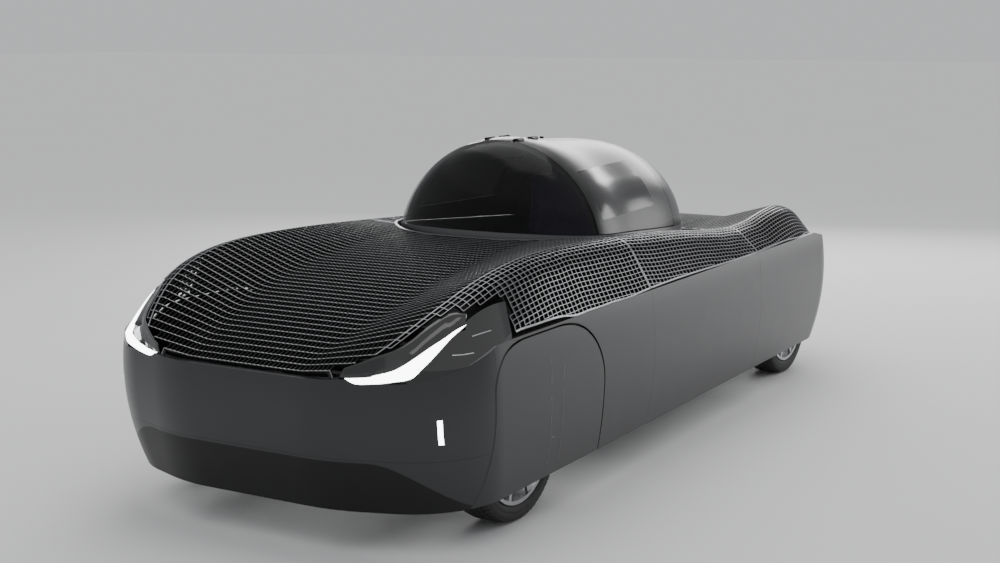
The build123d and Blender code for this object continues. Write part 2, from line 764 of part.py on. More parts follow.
above_sill = side_view_prism([(-1500, sill_z(-1500)), (2000, sill_z(2000))], 2000)
with BuildPart(mode=Mode.PRIVATE) as pod_shell:
    add(pod_outer)
    add(pod_cavity, mode=Mode.SUBTRACT)
with BuildPart(mode=Mode.PRIVATE) as glass_shell:
    add(pod_outer)
    add(pod(glass_thickness), mode=Mode.SUBTRACT)
door_front_y = windscreen_y + door_gap
door_back_y = door_rear_y - door_gap
with BuildPart(mode=Mode.PRIVATE) as door_solid:
    add(pod_shell.part)
    add(block(spine_half_width + door_gap, far, door_front_y, door_back_y, 0, far), mode=Mode.INTERSECT)
    add(above_sill.moved(Location((0, 0, door_gap))), mode=Mode.INTERSECT)
window_space = block(spine_half_width + window_margin, far, window_front_y, window_rear_y, window_bottom_z, window_top_z)
with BuildPart() as door:
    add(door_solid.part)
    add(window_space, mode=Mode.SUBTRACT)
    for row in hinge_rows:
        add(block(spine_half_width + hinge_pin_radius + running_gap, spine_half_width + door_gap + hinge_leaf,
                  row - hinge_barrel / 2, row + hinge_barrel / 2, hinge_z - hinge_leaf_depth, hinge_z))
        with Locations(Location((spine_half_width, row, hinge_z), (90, 0, 0))):
            Cylinder(hinge_radius, hinge_barrel)
            Cylinder(hinge_pin_radius + running_gap, 2 * hinge_barrel, mode=Mode.SUBTRACT)
with BuildPart() as door_glass:
    add(glass_shell.part)
    add(block(spine_half_width + window_margin + fit_gap, far, window_front_y + fit_gap,
              window_rear_y - fit_gap, window_bottom_z + fit_gap, window_top_z - fit_gap), mode=Mode.INTERSECT)
save_both(door.part, "door")
save_both(door_glass.part, "door_glass")
with BuildPart() as windscreen:
    add(glass_shell.part)
    add(block(-far, far, -far, windscreen_y, 0, far), mode=Mode.INTERSECT)
    add(above_sill, mode=Mode.INTERSECT)
save(windscreen.part, "windscreen")
with BuildPart(mode=Mode.PRIVATE) as rear_frame:
    add(pod_outer)
    add(block(-far, far, door_rear_y, far, 0, far), mode=Mode.INTERSECT)
    add(above_sill, mode=Mode.INTERSECT)
    add(pod_cavity, mode=Mode.SUBTRACT)
with BuildPart() as roof:
    add(pod_outer)
    add(block(-spine_half_width, spine_half_width, windscreen_y + fit_gap, door_rear_y, pod_axis_z, far),
        mode=Mode.INTERSECT)
    add(pod_cavity, mode=Mode.SUBTRACT)
    add(rear_frame.part)
    for row in hinge_rows:
        for side in (1, -1):
            notch_end = side * (spine_half_width - hinge_radius - 2 * running_gap - hinge_side_gap)
            notch = hinge_barrel / 2 + hinge_side_gap
            add(block(notch_end, side * far, row - notch, row + notch, pod_axis_z, far), mode=Mode.SUBTRACT)
            with Locations(Location((side * spine_half_width, row, hinge_z), (90, 0, 0))):
                Cylinder(hinge_pin_radius, hinge_barrel + 2 * hinge_lug)
            for end in (1, -1):
                lug_y = row + end * (notch + hinge_lug / 2)
                with Locations(Location((side * spine_half_width, lug_y, hinge_z), (90, 0, 0))):
                    Cylinder(hinge_radius, hinge_lug)
                add(block(side * (spine_half_width - hinge_lug_width), side * spine_half_width,
                          lug_y - hinge_lug / 2, lug_y + hinge_lug / 2, hinge_z - hinge_leaf_depth, hinge_z))
    with Locations((0, antenna_y, antenna_z)):
        Cylinder(antenna_radius, antenna_height)
save(roof.part, "roof")
with BuildPart() as cabin_tub:
    add(pod_outer)
    add(pod_cavity, mode=Mode.SUBTRACT)
    with BuildPart(mode=Mode.PRIVATE) as floor_plate:
        add(pod_outer)
        add(block(-far, far, -far, far, pod_floor_z, pod_floor_z + pod_wall), mode=Mode.INTERSECT)
    add(floor_plate.part)
    add(block(-far, far, -far, far, 0, pod_floor_z), mode=Mode.SUBTRACT)
    add(above_sill.moved(Location((0, 0, -fit_gap))), mode=Mode.SUBTRACT)
save(cabin_tub.part, "cabin_tub")

# Cradle under the pod's floor: two members across the rails, each with two posts
with BuildPart() as pod_cradle:
    for row in cradle_rows:
        with Locations((0, row, rail_top_z + beam_depth / 2)):
            Box(2 * rail_outer_x, cradle_post, beam_depth)
        for side in (1, -1):
            with Locations((side * cradle_post_x, row, (rail_top_z + pod_floor_z - fit_gap) / 2)):
                Box(cradle_post, cradle_post, pod_floor_z - fit_gap - rail_top_z)
save(pod_cradle.part, "pod_cradle")

# Seat on its base, with headrest, and the dashboard with its yoke
with BuildPart() as seat:
    with BuildSketch(Plane.YZ):
        with BuildLine():
            FilletPolyline(*[(seat_y + y, z) for y, z in seat_outline], radius=seat_round, close=True)
        make_face()
    extrude(amount=seat_half_width, both=True)
    with Locations((0, seat_y + headrest_y, headrest_z)):
        Box(headrest_width, headrest_depth, headrest_height)
save(seat.part, "seat")
with BuildPart() as dashboard:
    with BuildSketch(Plane.YZ):
        with BuildLine():
            Polyline(*dashboard_outline, close=True)
        make_face()
    extrude(amount=dashboard_half_width, both=True)
save(dashboard.part, "dashboard")
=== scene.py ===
import bpy
import bmesh
import json
import math
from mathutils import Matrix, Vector
from mathutils.bvhtree import BVHTree


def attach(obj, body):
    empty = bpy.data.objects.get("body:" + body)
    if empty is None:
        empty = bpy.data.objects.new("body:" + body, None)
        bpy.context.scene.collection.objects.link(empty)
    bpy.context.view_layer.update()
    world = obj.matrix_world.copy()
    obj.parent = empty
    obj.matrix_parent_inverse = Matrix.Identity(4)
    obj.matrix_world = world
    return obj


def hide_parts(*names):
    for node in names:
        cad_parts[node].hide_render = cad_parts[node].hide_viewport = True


# Flying car: finishes, the woven mesh deck and the cabin's soft parts, in metres.
# +Z up, the nose points to -Y, +X is the car's left side.

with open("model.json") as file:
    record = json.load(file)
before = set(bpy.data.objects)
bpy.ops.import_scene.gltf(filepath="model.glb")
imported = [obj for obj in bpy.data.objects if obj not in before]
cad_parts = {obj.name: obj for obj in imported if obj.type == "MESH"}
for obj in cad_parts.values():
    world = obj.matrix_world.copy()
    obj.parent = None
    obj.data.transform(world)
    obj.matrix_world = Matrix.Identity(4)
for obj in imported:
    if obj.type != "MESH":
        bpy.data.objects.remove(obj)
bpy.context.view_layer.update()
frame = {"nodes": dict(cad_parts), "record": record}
cad = frame["nodes"]

# Photograph's frame and the camera that matches it
camera_place = (4.288, -7.730, 2.291)
camera_turn = math.radians(30.10)
camera_dip = math.radians(9.47)
camera_lens = 55.46
sensor_width = 36.0

side_rows = [("left", 1), ("right", -1)]

# Lengths of the open deck: CAD node, first y, last y, cells of the CAD grille along it
deck_lengths = [
    ("front_mesh", -2.6000, -0.4800, 15),
    ("mid_mesh", -0.4792, 1.0800, 11),
    ("rear_mesh", 1.0808, 2.6000, 11),
]
# Cuts through the CAD deck near the nose and the tail, and how far inside a seam the others lie
nose_cuts = (-2.575, -2.530)
tail_cuts = (2.530, 2.572)
seam_cut_room = 0.004
# A length that ends past car_end ends at the car's end, not at a seam
car_end = 2.5
seams_within = 2.0
# Search for the deck's surface, from the middle out
deck_half_width = 1.03
crest_from = 0.35
probe_start = 0.001
probe_step = 0.005
gap_steps = 2.5

# Weave: pitches, room left at ends, and each strip's depth, width and place under the surface
rib_pitch = 0.044
strand_pitch = 0.024
seam_room = 0.006
end_room = 0.028
strand_room = 0.006
deck_inset = 0.0015
edge_depth = 0.0035
rib_depth = 0.018
rib_width = 0.0036
seam_rib_width = 0.007
rib_sag = 0.0026
strand_depth = 0.012
strand_widths = {"hood": 0.0028, "crest": 0.006, "wall": 0.0028, "edge": 0.009}
hood_strand_drop = 0.0045
slope_step = 0.004
least_run = 0.7

# Outline in plan that the weave leaves to the left headlamp
lamp_area = [(0.494, -2.700), (0.498, -2.566), (0.588, -2.518), (0.648, -2.478), (0.703, -2.432),
             (0.740, -2.373), (0.763, -2.308), (0.790, -2.238), (0.820, -2.172), (0.874, -2.118),
             (0.924, -1.885), (1.100, -2.000), (1.100, -2.700)]

# Oval opening round the pod: half width, front y, rear y, front radius, rear radius
opening = (0.695, -0.745, 1.430, 0.600, 0.650)
weave_clearance = 0.010
rim_clearance = 0.008
rim_step = 0.03
rim_inset = 0.0006
rim_depth = 0.022
rim_width = 0.014


class Signal:
    """A socket of a finish, with arithmetic written as Python."""

    def __init__(self, finish, socket):
        self.finish = finish
        self.socket = socket

    def math(self, operation, first, second=None):
        values = [first] if second is None else [first, second]
        return self.finish.node("ShaderNodeMath", {"operation": operation}, *values)

    def __add__(self, other):
        return self.math("ADD", self, other)

    __radd__ = __add__

    def __sub__(self, other):
        return self.math("SUBTRACT", self, other)

    def __rsub__(self, other):
        return self.math("SUBTRACT", other, self)

    def __mul__(self, other):
        return self.math("MULTIPLY", self, other)

    __rmul__ = __mul__

    def __abs__(self):
        return self.math("ABSOLUTE", self)

    def below(self, limit, soft):
        """1 well under limit, 0 over it, with a soft step between."""
        return self.finish.node(
            "ShaderNodeMapRange", {"interpolation_type": "SMOOTHSTEP"},
            self, limit - soft, limit + soft, 1.0, 0.0)


class Finish:
    """One material, made of nodes."""

    def __init__(self, name):
        self.material = bpy.data.materials.new(name)
        self.material.use_nodes = True
        self.tree = self.material.node_tree
        self.shader = self.tree.nodes["Principled BSDF"]
        self.place = self.node("ShaderNodeTexCoord", {}, output="Object")

    def fill(self, socket, value):
        if isinstance(value, Signal):
            self.tree.links.new(value.socket, socket)
        else:
            socket.default_value = value

    def node(self, kind, settings, *values, output=0, **named):
        made = self.tree.nodes.new(kind)
        for key, value in settings.items():
            setattr(made, key, value)
        for socket, value in zip(made.inputs, values):
            self.fill(socket, value)
        for name, value in named.items():
            self.fill(made.inputs[name.replace("_", " ")], value)
        return Signal(self, made.outputs[output])

    def noise(self, scale, detail):
        return self.node("ShaderNodeTexNoise", {}, Vector=self.place, Scale=scale, Detail=detail)

    def axis(self, letter):
        return self.node("ShaderNodeSeparateXYZ", {}, self.place, output="XYZ".index(letter))

    def blend(self, amount, low, high):
        """A colour between low and high."""
        mix = self.tree.nodes.new("ShaderNodeMix")
        mix.data_type = "RGBA"
        self.fill(mix.inputs["Factor"], amount)
        self.fill(mix.inputs[6], low)
        self.fill(mix.inputs[7], high)
        return Signal(self, mix.outputs[2])

    def bump(self, height, strength, distance):
        normal = self.node("ShaderNodeBump", {}, Strength=strength, Distance=distance, Height=height)
        self.tree.links.new(normal.socket, self.shader.inputs["Normal"])

    def set(self, **values):
        for name, value in values.items():
            self.fill(self.shader.inputs[name.replace("_", " ")], value)
        return self


def grey(level, blue=0.0):
    """A grey, with a little more blue where asked."""
    return (level, level * (1 + 0.3 * blue), level * (1 + blue), 1.0)


# Chin: height of the dark paint's edge in the middle, where it starts to fall, and how fast
chin_line_z = 0.440
chin_corner_x = 0.6
chin_fall = 2.0


# Finishes
def paint_shade(paint):
    """Fine flake over slow clouds."""
    return paint.noise(900.0, 1.0) * 0.35 + paint.noise(1.7, 3.0) * 0.65


def satin_paint(name, level, rough):
    paint = Finish(name)
    shade = paint_shade(paint)
    paint.set(Base_Color=paint.blend(shade, grey(level * 0.86, 0.06), grey(level * 1.14, 0.04)),
              Metallic=0.72,
              Roughness=paint.noise(6.0, 4.0) * 0.06 + (rough - 0.03),
              Coat_Weight=0.2,
              Coat_Roughness=0.3)
    paint.bump(paint.noise(260.0, 2.0), 0.02, 0.001)
    return paint


def chin_finish():
    """Dark under the nose, in the body's colour past the line that falls to the corners."""
    paint = satin_paint("chin_paint", 0.012, 0.5)
    corner = abs(paint.axis("X")) - chin_corner_x
    past = paint.node("ShaderNodeMath", {"operation": "MAXIMUM"}, corner, 0.0)
    line = paint.axis("Z") + past * past * chin_fall
    dark = line.below(chin_line_z, 0.004)
    shade = paint_shade(paint)
    body = paint.blend(shade, grey(0.042, 0.06), grey(0.052, 0.04))
    low = paint.blend(shade, grey(0.008), grey(0.016))
    paint.set(Base_Color=paint.blend(dark, body, low), Roughness=dark * 0.10 + 0.38)
    return paint.material


def dark_mesh():
    metal = Finish("mesh_sides")
    metal.set(Base_Color=metal.blend(metal.noise(30.0, 3.0), grey(0.006), grey(0.014, 0.05)),
              Metallic=0.5, Roughness=metal.noise(14.0, 3.0) * 0.12 + 0.38)
    metal.bump(metal.noise(400.0, 2.0), 0.04, 0.0006)
    return metal.material


# Painted highlight: a lit, much paler copy of the dark mesh metal, for the tops of ribs, strands and rims and
# for the wheel covers' beads
def painted_highlight_metal():
    metal = Finish("mesh_painted_highlight")
    metal.set(Base_Color=metal.blend(metal.noise(40.0, 3.0), grey(0.20, 0.04), grey(0.34, 0.04)),
              Metallic=0.8, Roughness=metal.noise(12.0, 3.0) * 0.10 + 0.28)
    metal.bump(metal.noise(500.0, 2.0), 0.04, 0.0004)
    return metal.material


def lit_lamp(name, shadow, colour, strength):
    lamp = Finish(name)
    glow = lamp.noise(60.0, 1.0) * 0.3 + 0.7
    lamp.set(Base_Color=colour, Roughness=0.2, Emission_Strength=strength,
             Emission_Color=lamp.blend(glow, shadow, colour))
    return lamp.material


def gloss_black(name, low, high, rough, shine):
    cover = Finish(name)
    cover.set(Base_Color=cover.blend(cover.noise(20.0, 2.0), grey(low), grey(high, 0.1)),
              Roughness=cover.noise(9.0, 3.0) * 0.05 + rough, Specular_IOR_Level=shine,
              Coat_Weight=shine * 0.5, Coat_Roughness=rough)
    return cover.material


def tinted_glass(name, clear, rough):
    glass = Finish(name)
    edge = glass.node("ShaderNodeLayerWeight", {}, 0.35, output=1)
    glass.set(Base_Color=glass.blend(glass.noise(2.0, 2.0), grey(0.006, 0.1), grey(0.010, 0.1)),
              Roughness=glass.noise(5.0, 2.0) * 0.02 + rough,
              Alpha=edge * 0.3 + (1 - clear), Specular_IOR_Level=0.35)
    return glass.material


def soft_cloth(name, low, high):
    cloth = Finish(name)
    grain = cloth.node("ShaderNodeTexVoronoi", {}, Vector=cloth.place, Scale=420.0)
    cloth.set(Base_Color=cloth.blend(cloth.noise(18.0, 4.0), low, high),
              Roughness=cloth.noise(30.0, 3.0) * 0.15 + 0.45, Sheen_Weight=0.3)
    cloth.bump(grain, 0.18, 0.0008)
    return cloth.material


def tyre_rubber():
    rubber = Finish("tyre_rubber")
    rubber.set(Base_Color=rubber.blend(rubber.noise(25.0, 4.0), grey(0.012), grey(0.028)),
               Roughness=rubber.noise(40.0, 3.0) * 0.14 + 0.66)
    rubber.bump(rubber.noise(180.0, 3.0), 0.15, 0.0008)
    return rubber.material


def wheel_metal():
    metal = Finish("wheel_metal")
    metal.set(Base_Color=metal.blend(metal.noise(12.0, 3.0), grey(0.36, 0.02), grey(0.50, 0.02)),
              Metallic=1.0, Roughness=metal.noise(30.0, 3.0) * 0.10 + 0.24)
    metal.bump(metal.noise(300.0, 2.0), 0.03, 0.0004)
    return metal.material


def blade_weave():
    weave = Finish("blade_weave")
    cells = weave.node("ShaderNodeTexChecker", {}, Vector=weave.place, Scale=240.0, output=1)
    weave.set(Base_Color=weave.blend(cells, grey(0.008), grey(0.024)),
              Roughness=cells * 0.12 + 0.24, Coat_Weight=0.5, Coat_Roughness=0.12)
    weave.bump(cells, 0.05, 0.0004)
    return weave.material


def coated_steel():
    steel = Finish("coated_steel")
    steel.set(Base_Color=steel.blend(steel.noise(10.0, 4.0), grey(0.020), grey(0.038)),
              Metallic=0.4, Roughness=steel.noise(24.0, 4.0) * 0.15 + 0.45)
    steel.bump(steel.noise(220.0, 3.0), 0.08, 0.0008)
    return steel.material


def moulded_trim():
    trim = Finish("moulded_trim")
    trim.set(Base_Color=trim.blend(trim.noise(16.0, 3.0), grey(0.012), grey(0.024)),
             Roughness=trim.noise(20.0, 3.0) * 0.1 + 0.55)
    trim.bump(trim.noise(600.0, 2.0), 0.12, 0.0006)
    return trim.material


finishes = {
    "body_paint": satin_paint("body_paint", 0.046, 0.36).material,
    "chin_paint": chin_finish(),
    "pod_paint": satin_paint("sill_paint", 0.10, 0.36).material,
    "mesh": dark_mesh(),
    # Lit copy of the mesh metal for the tops of ribs, strands and rims: a painted highlight
    "mesh_edge": painted_highlight_metal(),
    "lamp_white": lit_lamp("lamp_white", (0.72, 0.84, 1.0, 1), (1, 1, 1, 1), 9.0),
    "lamp_red": lit_lamp("lamp_red", (0.22, 0.002, 0.002, 1), (0.45, 0.004, 0.004, 1), 0.8),
    "gloss_black": gloss_black("gloss_black", 0.004, 0.009, 0.08, 0.6),
    "canopy_black": gloss_black("canopy_black", 0.008, 0.014, 0.26, 0.16),
    "glass": tinted_glass("tinted_glass", 0.76, 0.05),
    "door_glass": tinted_glass("door_tinted_glass", 0.22, 0.13),
    "seat_cloth": soft_cloth("seat_cloth", (0.030, 0.022, 0.085, 1), (0.070, 0.050, 0.170, 1)),
    "tyre": tyre_rubber(),
    "rim": wheel_metal(),
    "carbon": blade_weave(),
    "frame_metal": coated_steel(),
    "dark_trim": moulded_trim(),
}
canopy_nodes = ("roof", "door_left", "door_right")


def dress_node(node, finish):
    piece = cad[node]
    if piece.material_slots:
        for holder in piece.material_slots:
            holder.material = finish
    else:
        piece.data.materials.append(finish)


for row in frame["record"]["subparts"]:
    dress_node(row["node"], finishes[row["material_slot"]])
for node in canopy_nodes:
    dress_node(node, finishes["canopy_black"])
for node in ("door_glass_left", "door_glass_right"):
    dress_node(node, finishes["door_glass"])


# Camera, floor and lights
view_end = 200.0
floor_half = 90.0
world_colour = (0.80, 0.81, 0.83, 1)
world_strength = 0.72
sky_strength = 0.55
sky_angle = math.radians(120)


def set_camera():
    lens = bpy.data.cameras.new("photo_camera")
    lens.lens = camera_lens
    lens.sensor_width = sensor_width
    lens.clip_end = view_end
    camera = bpy.data.objects.new("photo_camera", lens)
    camera.location = camera_place
    camera.rotation_euler = (math.pi / 2 - camera_dip, 0.0, camera_turn)
    bpy.context.collection.objects.link(camera)
    bpy.context.scene.camera = camera


def studio_floor():
    pale = Finish("studio_floor")
    pale.set(Base_Color=pale.blend(pale.noise(0.6, 3.0), grey(0.80), grey(0.83)),
             Roughness=0.9, Specular_IOR_Level=0.1)
    corners = [(x * floor_half, y * floor_half, 0) for x, y in ((-1, -1), (1, -1), (1, 1), (-1, 1))]
    mesh = bpy.data.meshes.new("studio_floor")
    mesh.from_pydata(corners, [], [(0, 1, 2, 3)])
    mesh.materials.append(pale.material)
    floor = bpy.data.objects.new("studio_floor", mesh)
    bpy.context.collection.objects.link(floor)


def softbox(name, place, aim, size, power):
    lamp = bpy.data.lights.new(name, "AREA")
    lamp.shape = "RECTANGLE"
    lamp.size, lamp.size_y = size
    lamp.energy = power
    light = bpy.data.objects.new(name, lamp)
    light.location = place
    light.rotation_euler = (Vector(aim) - Vector(place)).to_track_quat("-Z", "Y").to_euler()
    light.visible_camera = False
    bpy.context.collection.objects.link(light)


# Soft lights: name, place, aim, size, power
softboxes = [
    ("top_soft", (-0.8, 1.0, 6.5), (0.0, 0.0, 0.8), (5.0, 8.0), 170),
    ("rear_rim", (-2.5, 8.0, 3.6), (0, 0.5, 1.1), (7.0, 1.6), 300),
    ("side_band", (4.9, 8.6, 2.3), (0.9, 0.4, 0.9), (4.0, 3.0), 150),
]


def studio_light():
    world = bpy.data.worlds.new("studio_air")
    bpy.context.scene.world = world
    world.use_nodes = True
    air = world.node_tree.nodes["Background"]
    air.inputs["Color"].default_value = world_colour
    air.inputs["Strength"].default_value = world_strength
    for row in softboxes:
        softbox(*row)
    sky_light = bpy.data.lights.new("even_sky", "SUN")
    sky_light.energy = sky_strength
    sky_light.angle = sky_angle
    bpy.context.collection.objects.link(bpy.data.objects.new("even_sky", sky_light))


set_camera()
studio_floor()
studio_light()


# Mesh making
def link_piece(name, mesh, materials, body="body"):
    for material in materials:
        mesh.materials.append(material)
    piece = bpy.data.objects.new(name, mesh)
    bpy.context.collection.objects.link(piece)
    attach(piece, body)
    return piece


def turned(v, side):
    """The vector, or its mirror image for side -1."""
    return Vector((v.x * side, v.y, v.z))


def smooth(piece):
    piece.data.polygons.foreach_set("use_smooth", [True] * len(piece.data.polygons))
    return piece


class Strips:
    """Thin strips that stand in the deck, gathered into one mesh."""

    def __init__(self):
        self.points = []
        self.faces = []
        self.marks = []

    def add(self, tops, normals, sides, depth, thickness, bright=True):
        """One strip: its top edge, its two flanks and its bottom edge; a bright strip has a painted highlight
        on its top face and upper lips.
        """
        base = len(self.points)
        for top, normal, side in zip(tops, normals, sides):
            half = side * (thickness / 2)
            lip = normal * edge_depth
            low = normal * depth
            self.points += [top - half, top + half, top + half - lip, top + half - low, top - half - low,
                            top - half - lip]
        last = len(tops) - 1
        for i in range(last):
            a = base + 6 * i
            for k in range(6):
                self.faces.append((a + k, a + 6 + k, a + 6 + (k + 1) % 6, a + (k + 1) % 6))
                # The top face and upper lips of a bright strip take the second finish, a painted highlight;
                # the rest take the dark mesh metal
                self.marks.append(1 if bright and k in (0, 1, 5) else 0)
        self.faces.append(tuple(base + k for k in range(6)))
        self.faces.append(tuple(base + 6 * last + 5 - k for k in range(6)))
        self.marks += [0, 0]

    def add_both(self, run, depth, thickness, turn_back, bright=True):
        """One strip on each side of the car, from spots (top, normal, sideways)."""
        for side in (1, -1):
            back = side if turn_back else 1
            self.add([turned(top, side) for top, normal, across in run],
                     [turned(normal, side) for top, normal, across in run],
                     [turned(across, side) * back for top, normal, across in run], depth, thickness, bright)

    def mesh(self, name):
        mesh = bpy.data.meshes.new(name)
        mesh.from_pydata(self.points, [], self.faces)
        mesh.polygons.foreach_set("material_index", self.marks)
        return mesh


# Mesh deck: ribs across the car and strands along it, laid on the deck's own surface
down = Vector((0, 0, -1))
sky = 3.0
hood_steps = 60
wall_steps = 20


def surface_tree(names):
    """One search tree over the CAD surfaces of several nodes."""
    points = []
    faces = []
    for name in names:
        mesh = cad[name].data
        base = len(points)
        points += [v.co.copy() for v in mesh.vertices]
        faces += [[base + i for i in f.vertices] for f in mesh.polygons]
    return BVHTree.FromPolygons(points, faces)


deck_skin = surface_tree([row[0] for row in deck_lengths] + ["headlamps", "lamp_strips"])


def eased(p0, m0, p1, m1, t):
    """A value between p0 and p1 on the curve that leaves with slope m0 and arrives with m1."""
    return ((2 * t**3 - 3 * t**2 + 1) * p0 + (t**3 - 2 * t**2 + t) * m0
            + (3 * t**2 - 2 * t**3) * p1 + (t**3 - t**2) * m1)


def cut_line(y):
    """Points (x, z) of the deck's top from the middle out, at one place along the car."""
    found = []
    for i in range(int(deck_half_width / probe_step)):
        hit = deck_skin.ray_cast(Vector((i * probe_step + probe_start, y, sky)), down)[0]
        if hit is not None:
            found.append((hit.x, hit.z))
    line = [found[0]]
    for k in range(1, len(found)):
        (x0, z0), (x1, z1) = found[k - 1], found[k]
        wide = x1 - x0
        if wide > gap_steps * probe_step and 2 < k < len(found) - 2:
            m0 = (z0 - found[k - 3][1]) / (x0 - found[k - 3][0]) * wide
            m1 = (found[k + 2][1] - z1) / (found[k + 2][0] - x1) * wide
            steps = int(wide / probe_step)
            line += [(x0 + wide * s / steps, eased(z0, m0, z1, m1, s / steps)) for s in range(1, steps)]
        line.append((x1, z1))
    return line


def arc_length(line):
    """Length of a line of points (x, z)."""
    return sum(math.hypot(b[0] - a[0], b[1] - a[1]) for a, b in zip(line, line[1:]))


def even_points(line, count):
    """count + 1 points at even steps along a line of points (x, z)."""
    reach = [0.0]
    for (x0, z0), (x1, z1) in zip(line, line[1:]):
        reach.append(reach[-1] + math.hypot(x1 - x0, z1 - z0))
    out = []
    j = 0
    for i in range(count + 1):
        want = reach[-1] * i / count
        while j < len(line) - 2 and reach[j + 1] < want:
            j += 1
        t = min(max((want - reach[j]) / max(reach[j + 1] - reach[j], 1e-9), 0.0), 1.0)
        (x0, z0), (x1, z1) = line[j], line[j + 1]
        out.append((x0 + t * (x1 - x0), z0 + t * (z1 - z0)))
    return out


def even_in_x(line, count):
    """count + 1 points at even steps of x along a line of points (x, z)."""
    out = []
    j = 0
    for i in range(count + 1):
        x = line[0][0] + (line[-1][0] - line[0][0]) * i / count
        while j < len(line) - 2 and line[j + 1][0] < x:
            j += 1
        t = (x - line[j][0]) / max(line[j + 1][0] - line[j][0], 1e-9)
        out.append((x, line[j][1] + t * (line[j + 1][1] - line[j][1])))
    return out


class DeckForm:
    """The deck's surface, from cuts through the CAD deck at its full bars."""

    def __init__(self):
        self.cuts = []
        places = list(nose_cuts) + list(tail_cuts)
        for node, first, last, count in deck_lengths:
            pitch = (last - first) / count
            places += [first + pitch * k for k in range(1, count)]
            places += [y for y in (first + seam_cut_room, last - seam_cut_room) if abs(y) < car_end]
        for y in sorted(places):
            line = cut_line(y)
            top = max(range(len(line)), key=lambda k: line[k][1] if line[k][0] > crest_from else 0.0)
            hood = even_in_x([(0.0, line[0][1])] + line[1:top + 1], hood_steps)
            wall = even_points(line[top:] if top < len(line) - 1 else [line[-1], line[-1]], wall_steps)
            self.cuts.append((y, hood, wall))

    def at(self, y):
        """The hood's and the side wall's points at y, smoothly between the cuts."""
        cuts = self.cuts
        k = 1
        while k < len(cuts) - 2 and cuts[k + 1][0] < y:
            k += 1
        if y < cuts[1][0]:
            k = 0
        before, a, b, after = cuts[max(k - 1, 0)], cuts[k], cuts[k + 1], cuts[min(k + 2, len(cuts) - 1)]
        gap = b[0] - a[0]
        t = (y - a[0]) / gap
        out = []
        for part in (1, 2):
            row = []
            for p0, p1, p2, p3 in zip(before[part], a[part], b[part], after[part]):
                point = []
                for c in (0, 1):
                    m1 = (p2[c] - p0[c]) / (b[0] - before[0]) * gap
                    m2 = (p3[c] - p1[c]) / (after[0] - a[0]) * gap
                    point.append(eased(p1[c], m1, p2[c], m2, t))
                row.append(tuple(point))
            out.append(row)
        return out


def pick(row, share):
    """The point at a share of the way along a row of points."""
    place = min(max(share, 0.0), 1.0) * (len(row) - 1)
    i = min(int(place), len(row) - 2)
    t = place - i
    return row[i][0] + t * (row[i + 1][0] - row[i][0]), row[i][1] + t * (row[i + 1][1] - row[i][1])


def height_at(hood, wall, x):
    """The deck's height at x in one cut."""
    if x <= hood[-1][0]:
        return pick(hood, x / hood[-1][0])[1]
    for (x0, z0), (x1, z1) in zip(wall, wall[1:]):
        if x0 <= x <= x1:
            return z0 + (z1 - z0) * (x - x0) / max(x1 - x0, 1e-9)
    return wall[-1][1]


def inside(shape, x, y):
    """Whether a point lies inside a closed outline in plan."""
    odd = False
    for (x0, y0), (x1, y1) in zip(shape, shape[1:] + shape[:1]):
        if (y0 > y) != (y1 > y) and x < x0 + (y - y0) / (y1 - y0) * (x1 - x0):
            odd = not odd
    return odd


def opening_edge(grow, steps):
    """The left half of the oval opening in plan, from its front to its rear, grown by grow."""
    half, front, rear, r0, r1 = opening
    out = [(0.0, front - grow)]
    for i in range(steps + 1):
        a = math.pi / 2 * i / steps
        out.append((half - r0 + (r0 + grow) * math.sin(a), front + r0 - (r0 + grow) * math.cos(a)))
    for i in range(steps + 1):
        a = math.pi / 2 * i / steps
        out.append((half - r1 + (r1 + grow) * math.cos(a), rear - r1 + (r1 + grow) * math.sin(a)))
    out.append((0.0, rear + grow))
    return out


form = DeckForm()
hole_shape = opening_edge(weave_clearance, 16)


def on_deck(x, y):
    """Whether the weave covers this place in plan."""
    return not inside(hole_shape, abs(x), y) and not inside(lamp_area, abs(x), y)


def rib_places(first, last):
    """Places of the ribs in one length of the deck, with one close to each of its ends."""
    low = first + (seam_room if first > -car_end else end_room)
    high = last - (seam_room if last < car_end else end_room)
    steps = round((high - low) / rib_pitch)
    return [low + (high - low) * i / steps for i in range(steps + 1)]


def cut_points(y):
    """Named points of one rib: hood strands by x, half steps between them, then the side wall's strands."""
    hood, wall = form.at(y)
    crest_x = hood[-1][0]
    spread = arc_length(wall)
    points = {}
    j = 0
    while j * strand_pitch < crest_x - strand_room:
        x = j * strand_pitch
        points[("hood", j)] = (x, pick(hood, x / crest_x)[1])
        mid = x + strand_pitch / 2
        if mid < crest_x - strand_room:
            points[("half", j)] = (mid, pick(hood, mid / crest_x)[1])
        j += 1
    points[("crest", 0)] = hood[-1]
    k = 1
    while k * strand_pitch < spread - strand_room:
        points[("wall", k)] = pick(wall, k * strand_pitch / spread)
        k += 1
    points[("edge", 0)] = wall[-1]
    return points


def rib_spots(y):
    """Spots of one rib by name: place, normal, along, across; None where the weave has a hole."""
    here = cut_points(y)
    ahead = cut_points(y + slope_step)
    places = [Vector((x, y, z)) for x, z in here.values()]
    spots = {}
    for n, (key, (x, z)) in enumerate(here.items()):
        across = (places[min(n + 1, len(places) - 1)] - places[max(n - 1, 0)]).normalized()
        next_x, next_z = ahead.get(key, (x, z))
        along = Vector((next_x - x, slope_step, next_z - z)).normalized()
        if along.y < least_run:
            along = Vector((0, 1, 0))
        normal = across.cross(along).normalized()
        if normal.z < 0:
            normal = -normal
        spots[key] = (places[n], normal, along, across) if on_deck(x, y) else None
    return spots


def unbroken(line):
    """The stretches of two spots or more in a line that has None for its gaps."""
    runs = []
    run = []
    for spot in line + [None]:
        if spot is not None:
            run.append(spot)
            continue
        if len(run) > 1:
            runs.append(run)
        run = []
    return runs


